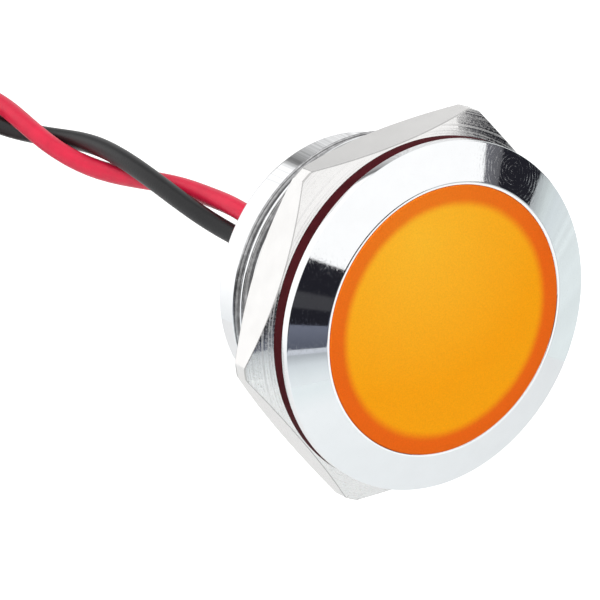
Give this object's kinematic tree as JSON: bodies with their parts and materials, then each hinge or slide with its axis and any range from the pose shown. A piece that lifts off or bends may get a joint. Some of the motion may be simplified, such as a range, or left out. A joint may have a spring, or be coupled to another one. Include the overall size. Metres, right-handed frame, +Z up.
{
  "type": "panel pilot light",
  "caption": "Round panel indicator with an amber lens, bright threaded barrel, sealing ring, hexagon nut and a twisted pair of flying leads.",
  "frame": {"origin": "on the barrel's axis, in the plane of the head's rear face", "axes": "+Y along the barrel axis, from the head towards the leads; the lens faces -Y; +Z up"},
  "size_m": [0.0282, 0.0827, 0.0291],
  "materials": {
    "bright_plate": "bright plated brass, polished",
    "amber_lens": "translucent amber, fine matt front",
    "black_rubber": "matt",
    "white_plastic": "matt",
    "board_laminate": "solder mask",
    "led_phosphor": "yellow window in a white body",
    "resistor_blue": "lacquer",
    "black_moulding": "matt",
    "tinned_metal": "bright tin",
    "potting_black": "cast epoxy",
    "red_insulation": "satin PVC",
    "black_insulation": "satin PVC",
    "coil_insulation": "satin PVC",
    "maroon_rubber": "dark maroon, matt",
    "nickel_plate": "satin nickel with turned chamfers",
    "tie_plastic": "matt"
  },
  "bodies": {
    "lamp": {"housing": "bright_plate", "lens": "amber_lens", "lens_gasket": "black_rubber", "diffuser": "white_plastic", "reflector_cup": "white_plastic", "circuit_board": "board_laminate", "led_1": "led_phosphor", "led_2": "led_phosphor", "led_3": "led_phosphor", "led_4": "led_phosphor", "led_5": "led_phosphor", "led_6": "led_phosphor", "resistor_1": "resistor_blue", "resistor_2": "resistor_blue", "bridge_rectifier": "black_moulding", "red_solder": "tinned_metal", "black_solder": "tinned_metal", "potting_resin": "potting_black", "red_lead_root": "red_insulation", "black_lead_root": "black_insulation", "red_lead": "red_insulation", "black_lead": "black_insulation", "lead_coil": "coil_insulation", "lead_tie": "tie_plastic", "red_lead_tip": "tinned_metal", "black_lead_tip": "tinned_metal"},
    "seal": {"sealing_ring": "maroon_rubber"},
    "nut": {"hex_nut": "nickel_plate"}
  },
  "joints": [
    {"name": "seal_slide", "type": "slide", "parent": "lamp", "child": "seal", "axis": [0, 1, 0], "range_m": [0, 0.006]},
    {"name": "nut_turn", "type": "hinge", "parent": "seal", "child": "nut", "pos_m": [0, 0.0027, 0], "axis": [0, 1, 0], "range_deg": [0, 2160]}
  ],
  "couplings": [
    {"joint": "seal_slide", "follows": "nut_turn", "m_per_rad": 0.00015915}
  ]
}
